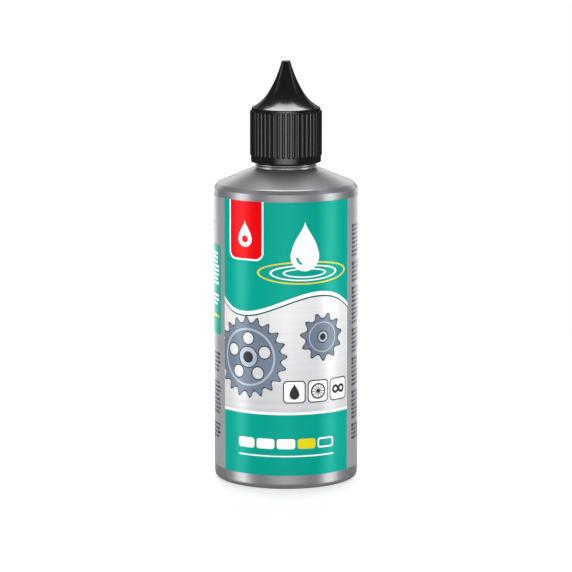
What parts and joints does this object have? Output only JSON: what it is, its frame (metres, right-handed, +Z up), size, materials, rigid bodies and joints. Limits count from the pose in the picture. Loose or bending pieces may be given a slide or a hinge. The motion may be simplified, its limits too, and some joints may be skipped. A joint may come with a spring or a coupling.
{
  "type": "chain lubricant bottle",
  "caption": "Round squeeze bottle of bicycle chain oil with a wrap label and a tall ribbed push-and-turn cap over a dropper nozzle.",
  "frame": {"origin": "middle of the base, on the plane the bottle stands on", "axes": "+Z up along the bottle's axis, -Y towards the front of the label, +X to the right seen from the front"},
  "size_m": [0.0424, 0.0424, 0.1232],
  "materials": {
    "bottle_plastic": "satin silver-grey polyethylene",
    "label_film": "printed satin film",
    "oil": "clear amber oil",
    "nozzle_plastic": "natural soft polyethylene",
    "inner_cap_plastic": "natural polypropylene",
    "cap_plastic": "black polypropylene, semi-gloss"
  },
  "bodies": {
    "bottle": {"bottle": "bottle_plastic", "label": "label_film", "lubricant": "oil", "dropper_insert": "nozzle_plastic"},
    "inner_cap": {"inner_cap": "inner_cap_plastic"},
    "outer_cap": {"outer_cap": "cap_plastic"}
  },
  "joints": [
    {"name": "closure_lift", "type": "slide", "parent": "bottle", "child": "inner_cap", "axis": [0, 0, 1], "range_m": [0, 0.036]},
    {"name": "cap_turn", "type": "hinge", "parent": "inner_cap", "child": "outer_cap", "pos_m": [0, 0, 0.102], "axis": [0, 0, 1], "continuous": true}
  ]
}
